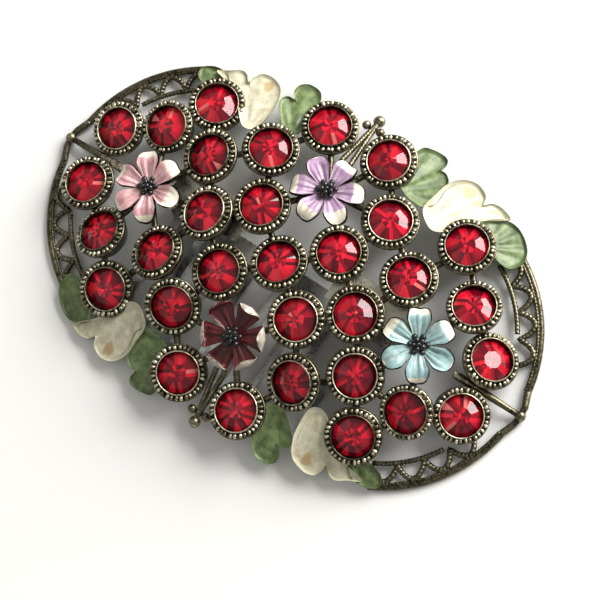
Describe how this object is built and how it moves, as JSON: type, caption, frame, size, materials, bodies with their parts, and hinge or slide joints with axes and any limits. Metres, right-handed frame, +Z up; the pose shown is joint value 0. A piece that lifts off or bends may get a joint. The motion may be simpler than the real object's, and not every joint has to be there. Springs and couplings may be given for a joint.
{
  "type": "decorative hair comb",
  "caption": "Domed oval hair comb with ruby glass stones in beaded cups, enamelled flowers and leaves and a filigree rim, on a hinged metal comb that folds flat behind it.",
  "frame": {"origin": "centre of the bounding box's bottom face, on the surface that the piece lies on, under the middle stone", "axes": "+X along the oval's length, +Y across it towards the hinged edge of the comb, +Z up through the dome, away from the head"},
  "size_m": [0.0716, 0.0466, 0.0091],
  "materials": {
    "cup_metal": "antiqued, dark in the recesses and rubbed bright on the beads",
    "wire_metal": "antiqued, dark olive grey with worn high spots",
    "hinge_metal": "brushed and tarnished",
    "comb_metal": "smooth, pale plated, lightly tarnished",
    "ruby_glass": "cut and polished, foil backed",
    "pink_enamel": "satin cold enamel, cream at the tips",
    "blue_enamel": "satin cold enamel, cream at the tips",
    "lilac_enamel": "satin cold enamel, cream at the tips",
    "maroon_enamel": "satin cold enamel, cream at the tips",
    "black_enamel": "gloss black",
    "green_enamel": "satin cold enamel, worn at the edges",
    "cream_enamel": "satin cold enamel, yellowed"
  },
  "bodies": {
    "ornament": {"cup_centre": "cup_metal", "cup_01": "cup_metal", "cup_02": "cup_metal", "cup_03": "cup_metal", "cup_04": "cup_metal", "cup_05": "cup_metal", "cup_06": "cup_metal", "cup_07": "cup_metal", "cup_08": "cup_metal", "cup_09": "cup_metal", "cup_10": "cup_metal", "cup_11": "cup_metal", "cup_12": "cup_metal", "cup_13": "cup_metal", "cup_14": "cup_metal", "cup_15": "cup_metal", "stone_centre": "ruby_glass", "stone_01": "ruby_glass", "stone_02": "ruby_glass", "stone_03": "ruby_glass", "stone_04": "ruby_glass", "stone_05": "ruby_glass", "stone_06": "ruby_glass", "stone_07": "ruby_glass", "stone_08": "ruby_glass", "stone_09": "ruby_glass", "stone_10": "ruby_glass", "stone_11": "ruby_glass", "stone_12": "ruby_glass", "stone_13": "ruby_glass", "stone_14": "ruby_glass", "stone_15": "ruby_glass", "flower_pink": "pink_enamel", "flower_blue": "blue_enamel", "flower_lilac": "lilac_enamel", "flower_maroon": "maroon_enamel", "stamens_pink": "black_enamel", "stamens_blue": "black_enamel", "stamens_lilac": "black_enamel", "stamens_maroon": "black_enamel", "leaf_green_side_a": "green_enamel", "leaf_white_a": "cream_enamel", "leaf_green_rim_a": "green_enamel", "leaf_green_side_b": "green_enamel", "leaf_white_b": "cream_enamel", "leaf_green_rim_b": "green_enamel", "rim_wire_ne": "wire_metal", "rim_wire_nw": "wire_metal", "rim_wire_sw": "wire_metal", "rim_wire_se": "wire_metal", "zigzag_wires": "wire_metal", "inner_wires": "wire_metal", "end_ornaments": "wire_metal", "side_ornaments": "wire_metal", "frame_bars": "wire_metal", "hinge_leaf_left": "hinge_metal", "hinge_leaf_right": "hinge_metal", "hinge_pins": "hinge_metal"},
    "comb": {"comb": "comb_metal"}
  },
  "joints": [
    {"name": "comb_hinge", "type": "hinge", "parent": "ornament", "child": "comb", "pos_m": [0, 0.0026, 0.0015], "axis": [1, 0, 0], "range_deg": [0, 110]}
  ]
}
